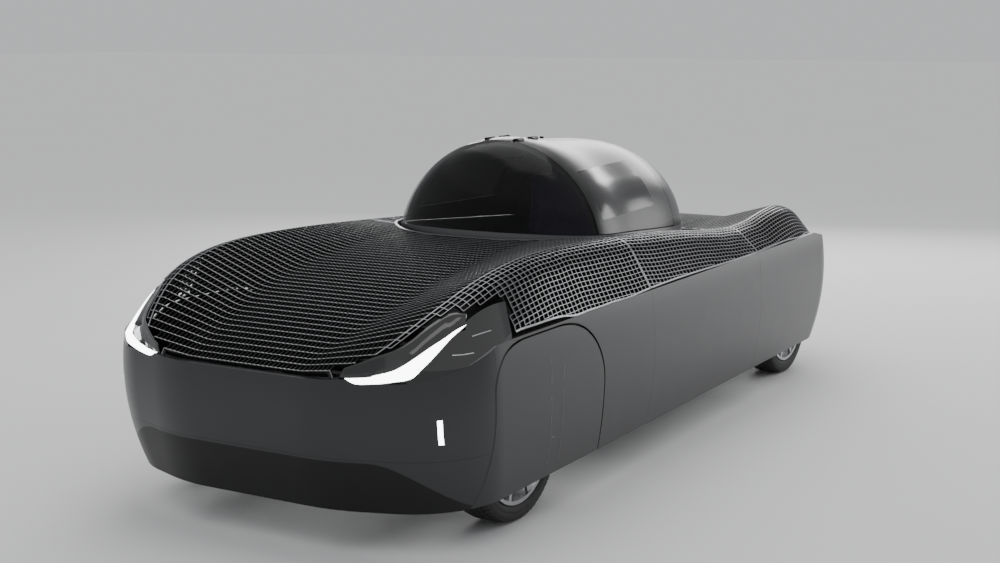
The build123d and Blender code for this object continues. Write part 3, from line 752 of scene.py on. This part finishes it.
def add_rib(strips, spots, width):
    """One rib, whose top dips between the strands of the hood."""
    line = []
    for (kind, number), spot in spots.items():
        if spot is None:
            line.append(None)
        else:
            place, normal, along, across = spot
            dip = rib_sag if kind == "half" else 0.0
            line.append((place - normal * (deck_inset + dip), normal, along))
    for run in unbroken(line):
        strips.add_both(run, rib_depth, width, turn_back=True)


def add_strand(strips, ribs, key):
    """One strand through the ribs' spots of the same name, lower on the hood and without the painted
    highlight there.
    """
    hood = key[0] == "hood"
    drop = deck_inset + (hood_strand_drop if hood else 0.0)
    line = []
    for spots in ribs:
        spot = spots.get(key)
        line.append(None if spot is None else (spot[0] - spot[1] * drop, spot[1], spot[3]))
    for run in unbroken(line):
        strips.add_both(run, strand_depth, strand_widths[key[0]], turn_back=False, bright=not hood)


def make_deck():
    for node, first, last, count in deck_lengths:
        strips = Strips()
        places = rib_places(first, last)
        ribs = [rib_spots(y) for y in places]
        for y, spots in zip(places, ribs):
            at_seam = y in (places[0], places[-1]) and abs(y) < seams_within
            add_rib(strips, spots, seam_rib_width if at_seam else rib_width)
        keys = {key for spots in ribs for key, spot in spots.items() if spot is not None}
        for key in sorted(keys):
            if key[0] != "half":
                add_strand(strips, ribs, key)
        name = node.replace("_mesh", "_deck_weave")
        piece = link_piece(name, strips.mesh(name), [finishes["mesh"], finishes["mesh_edge"]])
        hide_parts(node)


def make_opening_rim():
    """The raised edge round the oval opening, with a painted highlight on its top."""
    strips = Strips()
    outline = opening_edge(rim_clearance, 24)
    dense = []
    for (x0, y0), (x1, y1) in zip(outline, outline[1:]):
        steps = max(1, int(math.hypot(x1 - x0, y1 - y0) / rim_step))
        dense += [(x0 + (x1 - x0) * s / steps, y0 + (y1 - y0) * s / steps) for s in range(steps)]
    dense.append(outline[-1])
    tops = []
    for x, y in dense:
        hood, wall = form.at(y)
        tops.append(Vector((x, y, height_at(hood, wall, x) - rim_inset)))
    up = Vector((0, 0, 1))
    run = []
    for n in range(len(tops)):
        along = (tops[min(n + 1, len(tops) - 1)] - tops[max(n - 1, 0)]).normalized()
        run.append((tops[n], up, along.cross(up).normalized()))
    strips.add_both(run, rim_depth, rim_width, turn_back=False)
    link_piece("opening_rim", strips.mesh("opening_rim"), [finishes["mesh"], finishes["mesh_edge"]])


make_deck()
make_opening_rim()

# Lit lens of the left headlamp: its lower and its upper edge, as matching points x, y, z
lens_low = [(0.528, -2.559, 0.816), (0.575, -2.546, 0.793), (0.658, -2.518, 0.797), (0.735, -2.487, 0.808),
            (0.799, -2.456, 0.823), (0.829, -2.420, 0.858), (0.850, -2.350, 0.905), (0.868, -2.250, 0.965),
            (0.889, -2.158, 1.012)]
lens_high = [(0.532, -2.557, 0.818), (0.615, -2.529, 0.829), (0.697, -2.499, 0.850), (0.753, -2.470, 0.876),
             (0.790, -2.400, 0.918), (0.817, -2.335, 0.949), (0.845, -2.265, 0.975), (0.869, -2.205, 1.000),
             (0.887, -2.162, 1.011)]
# Inner edge of the black shroud between the lens and the weave
shroud_edge = [(0.500, -2.566, 0.820), (0.590, -2.520, 0.842), (0.650, -2.480, 0.872), (0.705, -2.435, 0.905),
               (0.742, -2.375, 0.935), (0.765, -2.310, 0.962), (0.792, -2.240, 0.992), (0.822, -2.175, 1.015),
               (0.870, -2.120, 1.035)]
# Lit share of the lens, drop of the shroud's edge under the weave and under its own line, and how
# far the surface is looked for and may lie from a flat patch
lit_share = 0.84
shroud_under = 0.006
shroud_fall = 0.02
skin_reach = 0.1
skin_room = 0.014
# Patches: columns, lift over the surface, extra height in the middle, and depth
lens_form = (6, 0.0022, 0.0012, 0.006)
shroud_form = (10, -0.001, 0.0, 0.012)
slot_form = (2, 0.0008, 0.0004, 0.004)
lens_steps = 6
slot_steps = 8
lamp_core = Vector((0.35, -1.95, 0.45))
lamp_skin = surface_tree(["headlamps", "lamp_strips", "nose_fascia"])


def curve_points(points, steps):
    """Points on a smooth curve through the given ones."""
    points = [Vector(p) for p in points]
    out = []
    for i in range(len(points) - 1):
        p0, p1, p2, p3 = points[max(i - 1, 0)], points[i], points[i + 1], points[min(i + 2, len(points) - 1)]
        for s in range(steps):
            t = s / steps
            out.append(0.5 * (2 * p1 + (p2 - p0) * t + (2 * p0 - 5 * p1 + 4 * p2 - p3) * t**2
                              + (3 * p1 - p0 - 3 * p2 + p3) * t**3))
    out.append(points[-1])
    return out


def skin_patch(name, low, high, patch_form, side):
    """A closed lens or cover that lies on the lamp's surface between two lines of points."""
    columns, lift, crown, depth = patch_form
    grid = []
    backs = []
    for a, b in zip(low, high):
        row = []
        back = []
        for c in range(columns + 1):
            share = c / columns
            flat = a.lerp(b, share)
            normal = (flat - lamp_core).normalized()
            place = lamp_skin.ray_cast(flat + normal * skin_reach, -normal)[0]
            if place is None or (place - flat).length > skin_room:
                place = flat
            edge = min(share, 1 - share) * 2
            row.append(turned(place + normal * (lift + crown * math.sqrt(edge)), side))
            back.append(turned(place - normal * depth, side))
        grid.append(row)
        backs.append(back)
    wide = columns + 1
    points = [p for row in grid for p in row] + [p for row in backs for p in row]
    offset = len(grid) * wide
    faces = []
    for i in range(len(grid) - 1):
        for c in range(columns):
            a = i * wide + c
            faces.append((a, a + 1, a + wide + 1, a + wide))
            faces.append((offset + a, offset + a + wide, offset + a + wide + 1, offset + a + 1))
        for c in (0, columns):
            a = i * wide + c
            faces.append((a, a + wide, offset + a + wide, offset + a))
    for i in (0, len(grid) - 1):
        for c in range(columns):
            a = i * wide + c
            faces.append((a, a + 1, offset + a + 1, offset + a))
    mesh = bpy.data.meshes.new(name)
    mesh.from_pydata(points, [], faces)
    bm = bmesh.new()
    bm.from_mesh(mesh)
    bmesh.ops.recalc_face_normals(bm, faces=bm.faces)
    bm.to_mesh(mesh)
    bm.free()
    return mesh


# Small bright slots in the black lamp cover: lower edge and upper edge
lamp_slots = [
    ([(0.922, -2.164, 0.962), (0.955, -2.059, 0.974)], [(0.922, -2.164, 0.968), (0.955, -2.059, 0.980)]),
    ([(0.900, -2.292, 0.900), (0.930, -2.250, 0.899), (0.956, -2.204, 0.902)],
     [(0.900, -2.292, 0.906), (0.930, -2.250, 0.905), (0.956, -2.204, 0.908)]),
]


def make_headlamps():
    low = curve_points(lens_low, lens_steps)
    high = [a.lerp(b, lit_share) for a, b in zip(low, curve_points(lens_high, lens_steps))]
    shroud = []
    for p in curve_points(shroud_edge, lens_steps):
        hood, wall = form.at(p.y)
        top = height_at(hood, wall, p.x)
        shroud.append(Vector((p.x, p.y, max(top - shroud_under, p.z - shroud_fall))))
    for word, side in side_rows:
        mesh = skin_patch(f"lamp_shroud_{word}", low, shroud, shroud_form, side)
        cover = smooth(link_piece(mesh.name, mesh, [finishes["gloss_black"]]))
        if word == "left":
            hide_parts("lamp_strips")
        mesh = skin_patch(f"lamp_lens_{word}", low, high, lens_form, side)
        smooth(link_piece(mesh.name, mesh, [finishes["lamp_white"]]))
        for n, edges in enumerate(lamp_slots, 1):
            slot_low, slot_high = [curve_points(edge, slot_steps) for edge in edges]
            mesh = skin_patch(f"lamp_slot_{n}_{word}", slot_low, slot_high, slot_form, side)
            link_piece(mesh.name, mesh, [finishes["rim"]])


make_headlamps()


# Solid pieces lofted through sections
tube_guide = Vector((0.31, 0.17, 0.94))


def add_loft(bm, sections, closed=False, rounded=False):
    """Walls through equal sections; the ends are capped unless the last meets the first."""
    rings = [[bm.verts.new(p) for p in section] for section in sections]
    count = len(rings[0])
    pairs = list(zip(rings, rings[1:]))
    if closed:
        pairs.append((rings[-1], rings[0]))
    for a, b in pairs:
        for k in range(count):
            face = bm.faces.new((a[k], a[(k + 1) % count], b[(k + 1) % count], b[k]))
            face.smooth = rounded
    if not closed:
        bm.faces.new(rings[0][::-1])
        bm.faces.new(rings[-1])


def turns(count):
    """Even angles round a circle."""
    return [2 * math.pi * k / count for k in range(count)]


def add_tube(bm, points, radius, sides):
    """A round bar along a line of points."""
    sections = []
    for i, p in enumerate(points):
        along = (points[min(i + 1, len(points) - 1)] - points[max(i - 1, 0)]).normalized()
        first = along.cross(tube_guide).normalized()
        second = along.cross(first)
        sections.append([p + (first * math.cos(a) + second * math.sin(a)) * radius for a in turns(sides)])
    add_loft(bm, sections, rounded=True)


def solid_mesh(name, bm):
    bmesh.ops.recalc_face_normals(bm, faces=bm.faces)
    mesh = bpy.data.meshes.new(name)
    bm.to_mesh(mesh)
    bm.free()
    return mesh


# Wheels: carcass profile as (offset from the middle plane, radius), then rows of tread blocks
wheel_offset = 0.805
wheel_radius = 0.400
axle_rows = [("front", -1.683), ("rear", 1.945)]
tyre_profile = [(-0.078, 0.3170), (-0.086, 0.3260), (-0.0925, 0.3380), (-0.0945, 0.3530), (-0.0935, 0.3540),
                (-0.0935, 0.3560), (-0.0940, 0.3570), (-0.0915, 0.3750), (-0.0850, 0.3880), (-0.0740, 0.3925),
                (0.0, 0.3940), (0.0740, 0.3925), (0.0850, 0.3880), (0.0915, 0.3750), (0.0940, 0.3570),
                (0.0935, 0.3560), (0.0935, 0.3540), (0.0945, 0.3530), (0.0925, 0.3380), (0.086, 0.3260),
                (0.078, 0.3170)]
# Tread rows: first offset, last offset, share of a block's pitch, slant in radians, shift in pitches
tread_rows = [(-0.0860, -0.0560, 0.80, 0.010, 0.0), (-0.0500, -0.0210, 0.84, 0.016, 0.5),
              (-0.0150, 0.0150, 0.97, 0.0, 0.25), (0.0210, 0.0500, 0.84, -0.016, 0.5),
              (0.0560, 0.0860, 0.80, -0.010, 0.0)]
tread_blocks = 72
tread_foot = 0.386
ring_steps = 96
# Tread's outer face: room under the wheel's radius, its bow, and the steeper fall past the shoulder
tread_room = 0.0006
tread_bow = 0.45
shoulder = 0.060
shoulder_fall = 9.0
# Wheel bolts: number, circle, and radius, inner end, outer end and corners of washer and head
bolt_count = 5
bolt_circle = 0.048
bolt_parts = [(0.0115, -0.004, 0.0015, 20), (0.0085, -0.004, 0.0090, 6)]
# Distance from the middle plane at which rays towards a side start
beside_car = 1.2


def wheel_point(centre, offset, radius, angle):
    return centre + Vector((offset, radius * math.cos(angle), radius * math.sin(angle)))


def tread_top(offset):
    """Radius of the tread's outer face, falling a little to the shoulders."""
    past = max(abs(offset) - shoulder, 0.0)
    return wheel_radius - tread_room - tread_bow * offset ** 2 - shoulder_fall * past ** 2


def make_tyres():
    pitch = 2 * math.pi / tread_blocks
    for axle, y in axle_rows:
        for word, side in side_rows:
            centre = Vector((wheel_offset * side, y, wheel_radius))
            bm = bmesh.new()
            add_loft(bm, [[wheel_point(centre, x, r, a) for x, r in tyre_profile] for a in turns(ring_steps)],
                     closed=True, rounded=True)
            for x0, x1, share, slant, shift in tread_rows:
                for i in range(tread_blocks):
                    a0 = pitch * (i + shift)
                    a1 = a0 + pitch * share
                    sections = []
                    for x, turn in ((x0, -slant), (x1, slant)):
                        top = tread_top(x)
                        corners = [(tread_foot, a0), (top, a0), (top, (a0 + a1) / 2), (top, a1),
                                   (tread_foot, a1)]
                        sections.append([wheel_point(centre, x, r, a + turn) for r, a in corners])
                    add_loft(bm, sections)
            name = f"tyre_{axle}_{word}"
            mesh = solid_mesh("treaded_" + name, bm)
            piece = link_piece(mesh.name, mesh, [finishes["tyre"]], f"wheel_{axle}_{word}")
            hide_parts(name)


def make_wheel_bolts():
    """Bolts with washers round each hub."""
    for axle, y in axle_rows:
        for word, side in side_rows:
            rim_skin = surface_tree([f"rim_{axle}_{word}"])
            bm = bmesh.new()
            for i in range(bolt_count):
                a = 2 * math.pi * (i + 0.5) / bolt_count
                at_y, at_z = y + bolt_circle * math.cos(a), wheel_radius + bolt_circle * math.sin(a)
                hit = rim_skin.ray_cast(Vector((beside_car * side, at_y, at_z)), Vector((-side, 0, 0)))[0]
                if hit is None:
                    continue
                for radius, low, high, corners in bolt_parts:
                    add_loft(bm, [[Vector((hit.x + side * out, at_y + radius * math.cos(t),
                                           at_z + radius * math.sin(t)))
                                   for t in turns(corners)] for out in (low, high)])
            if bm.faces:
                mesh = solid_mesh(f"wheel_bolts_{axle}_{word}", bm)
                link_piece(mesh.name, mesh, [finishes["frame_metal"]], f"wheel_{axle}_{word}")


make_tyres()
make_wheel_bolts()

# Raised beads on the front wheel covers: ends as (y, z), top then bottom
bead_rows = [((-1.622, 0.784), (-1.598, 0.266)), ((-1.500, 0.733), (-1.490, 0.268)),
             ((-1.596, 0.398), (-1.566, 0.392))]
bead_steps = 24
bead_bow = 0.010
bowed_from = 0.1
bead_lift = 0.0010
bead_limit = 1.0244
bead_depth = 0.004
bead_width = 0.0022


def make_cover_beads():
    for word, side in side_rows:
        skin = surface_tree([f"wheel_cover_{word}"])
        out = Vector((side, 0, 0))
        strips = Strips()
        for (y0, z0), (y1, z1) in bead_rows:
            bow = bead_bow if abs(z1 - z0) > bowed_from else 0.0
            tops = []
            for i in range(bead_steps + 1):
                share = i / bead_steps
                y = y0 + (y1 - y0) * share - bow * math.sin(math.pi * share)
                z = z0 + (z1 - z0) * share
                hit = skin.ray_cast(Vector((beside_car * side, y, z)), -out)[0]
                if hit is not None:
                    tops.append(Vector((side * min(abs(hit.x) + bead_lift, bead_limit), y, z)))
            if len(tops) > 1:
                across = (tops[-1] - tops[0]).normalized().cross(out).normalized()
                strips.add(tops, [out] * len(tops), [across] * len(tops), bead_depth, bead_width)
        name = f"cover_beads_{word}"
        # The beads are drawn wholly in the painted-highlight metal, as bright lines on the wheel covers
        link_piece(name, strips.mesh(name), [finishes["mesh_edge"], finishes["mesh_edge"]],
                   f"steering_{word}")


# Painted-shade lining, a black sheet inside the deck's side walls: where it may start and end, its cuts, its
# highest row of the wall, and its place
lining_first = -1.86
lining_last = 2.46
lining_end_room = 0.02
lining_steps = 30
lining_top_row = 4
lining_inset = 0.036
lining_drop = 0.030
lining_thickness = 0.003


def make_painted_shade_lining():
    """Black sheet that stands a little inside the side walls of the deck: painted shade for the deck's
    inside.
    """
    for node, first, last, count in deck_lengths:
        low = max(first, lining_first) + lining_end_room
        high = min(last, lining_last) - lining_end_room
        for word, side in side_rows:
            sections = []
            for i in range(lining_steps + 1):
                y = low + (high - low) * i / lining_steps
                wall = form.at(y)[1]
                outer = [Vector(((x - lining_inset) * side, y, z - lining_drop))
                         for x, z in wall[lining_top_row::2]]
                inner = [p - Vector((lining_thickness * side, 0, 0)) for p in reversed(outer)]
                sections.append(outer + inner)
            bm = bmesh.new()
            add_loft(bm, sections, rounded=True)
            mesh = solid_mesh(f"{node.replace('_mesh', '')}_painted_shade_lining_{word}", bm)
            link_piece(mesh.name, mesh, [finishes["dark_trim"]])


# Belly louvres, dark slats that stand in for shade under the deck: stretches along the car as first y, last
# y, half width
shade_louvre_rows = [(-2.290, -2.150, 0.600), (-2.130, -0.930, 0.560), (-0.910, 1.480, 0.930), (1.500, 2.400, 0.660)]
louvre_pitch = 0.030
louvre_top = 0.258
louvre_depth = 0.030
louvre_width = 0.003


def make_painted_shade_louvres():
    """Dark louvres that close the underside between the rails and the sides: painted shade under the deck."""
    strips = Strips()
    for first, last, half in shade_louvre_rows:
        for i in range(int((last - first) / louvre_pitch) + 1):
            y = first + louvre_pitch * i
            strips.add([Vector((x, y, louvre_top)) for x in (-half, half)], [Vector((0, 0, 1))] * 2,
                       [Vector((0, 1, 0))] * 2, louvre_depth, louvre_width, bright=False)
    mesh = strips.mesh("painted_shade_louvres")
    link_piece(mesh.name, mesh, [finishes["mesh"], finishes["mesh_edge"]])


make_cover_beads()
make_painted_shade_lining()
make_painted_shade_louvres()


# Cabin: yoke with its column and spokes, instrument hood and displays
yoke_hub = Vector((0.0, -0.150, 1.060))
yoke_reach = (0.150, 0.0135, 0.105)
yoke_sweep = range(-128, 129, 8)
column_end = Vector((0, -0.11, -0.045))
spoke_end = Vector((0.149, 0.0, 0.010))
grip_radius = 0.013
column_radius = 0.022
spoke_radius = 0.010
hood_line = [(-0.425, 1.100), (-0.38, 1.128), (-0.30, 1.135), (-0.225, 1.118), (-0.218, 1.100)]
hood_columns = (-0.36, -0.24, -0.12, 0.0, 0.12, 0.24, 0.36)
hood_droop = 0.05
hood_droop_at = 0.4
hood_thickness = 0.012
display_spans = [(-0.30, -0.105), (-0.095, 0.095), (0.105, 0.30)]
display_front = -0.231
display_back = -0.226
display_heights = (0.98, 1.07)


def make_yoke():
    bm = bmesh.new()
    wide, deep, tall = yoke_reach
    arc = [yoke_hub + Vector((wide * math.sin(a), deep * math.cos(a), -tall * math.cos(a)))
           for a in (math.radians(d) for d in yoke_sweep)]
    add_tube(bm, arc, grip_radius, 12)
    add_tube(bm, [yoke_hub, yoke_hub + column_end], column_radius, 16)
    for word, side in side_rows:
        add_tube(bm, [yoke_hub, yoke_hub + turned(spoke_end, side)], spoke_radius, 10)
    link_piece("steering_yoke", solid_mesh("steering_yoke", bm), [finishes["dark_trim"]])


def make_dash_hood():
    bm = bmesh.new()
    sections = []
    for y, z in hood_line:
        row = [Vector((x, y, z - hood_droop * (x / hood_droop_at) ** 2)) for x in hood_columns]
        sections.append(row + [p - Vector((0, 0, hood_thickness)) for p in reversed(row)])
    add_loft(bm, sections, rounded=True)
    link_piece("dash_hood", solid_mesh("dash_hood", bm), [finishes["dark_trim"]])


def make_displays():
    bm = bmesh.new()
    for x0, x1 in display_spans:
        corners = [(x0, display_front), (x1, display_front), (x1, display_back), (x0, display_back)]
        add_loft(bm, [[Vector((x, y, z)) for x, y in corners] for z in display_heights])
    link_piece("dash_displays", solid_mesh("dash_displays", bm), [finishes["canopy_black"]])


make_yoke()
make_dash_hood()
make_displays()

# Seat: the CAD seat's form, puffed between its seams
seat_voxel = 0.012
seat_swell = 0.010
seam_half = 0.007
seat_seams_x = (-0.135, 0.135)
seat_seams_z = (1.00, 1.12, 1.24, 1.345)
seat_seams_y = (0.02, 0.16, 0.30)
seat_shrink = 0.006
seat_back_from = 0.95
seat_foot = 0.66
cloth_quality = 4
cloth_mass = 0.3
cloth_pressure = 4.0
cloth_frames = 20


def baked_mesh(piece):
    """The piece's mesh with its modifiers applied."""
    graph = bpy.context.evaluated_depsgraph_get()
    return bpy.data.meshes.new_from_object(piece.evaluated_get(graph), depsgraph=graph)


def make_seat():
    piece = bpy.data.objects.new("padded_seat", cad["seat"].data.copy())
    bpy.context.collection.objects.link(piece)
    remesh = piece.modifiers.new("even_cells", "REMESH")
    remesh.mode = "VOXEL"
    remesh.voxel_size = seat_voxel
    remesh.use_smooth_shade = True
    piece.data = baked_mesh(piece)
    piece.modifiers.clear()
    mesh = piece.data
    normals = [v.normal.copy() for v in mesh.vertices]
    for vertex, normal in zip(mesh.vertices, normals):
        vertex.co -= normal * seat_shrink
    rest = [v.co.copy() for v in mesh.vertices]
    seams = piece.vertex_groups.new(name="seams")
    for i, p in enumerate(rest):
        on_back = p.z > seat_back_from
        near = any(abs(p.x - x) < seam_half for x in seat_seams_x)
        if abs(p.x) < seat_seams_x[1]:
            near = near or (on_back and any(abs(p.z - z) < seam_half for z in seat_seams_z))
            near = near or (not on_back and any(abs(p.y - y) < seam_half for y in seat_seams_y))
        if near or p.z < seat_foot:
            seams.add([i], 1.0, "REPLACE")
    cloth = piece.modifiers.new("puff", "CLOTH")
    settings = cloth.settings
    settings.quality = cloth_quality
    settings.mass = cloth_mass
    settings.use_pressure = True
    settings.uniform_pressure_force = cloth_pressure
    settings.effector_weights.gravity = 0.0
    settings.vertex_group_mass = "seams"
    scene = bpy.context.scene
    for step in range(1, cloth_frames + 1):
        scene.frame_set(step)
    puffed = baked_mesh(piece)
    scene.frame_set(1)
    piece.modifiers.clear()
    for vertex, start, soft in zip(mesh.vertices, rest, puffed.vertices):
        move = soft.co - start
        if move.length > seat_swell:
            move *= seat_swell / move.length
        vertex.co = start + move
    bpy.data.meshes.remove(puffed)
    smooth(piece)
    mesh.materials.clear()
    mesh.materials.append(finishes["seat_cloth"])
    finer = piece.modifiers.new("finer", "SUBSURF")
    finer.levels = 1
    finer.render_levels = 1
    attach(piece, "body")
    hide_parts("seat")


make_seat()
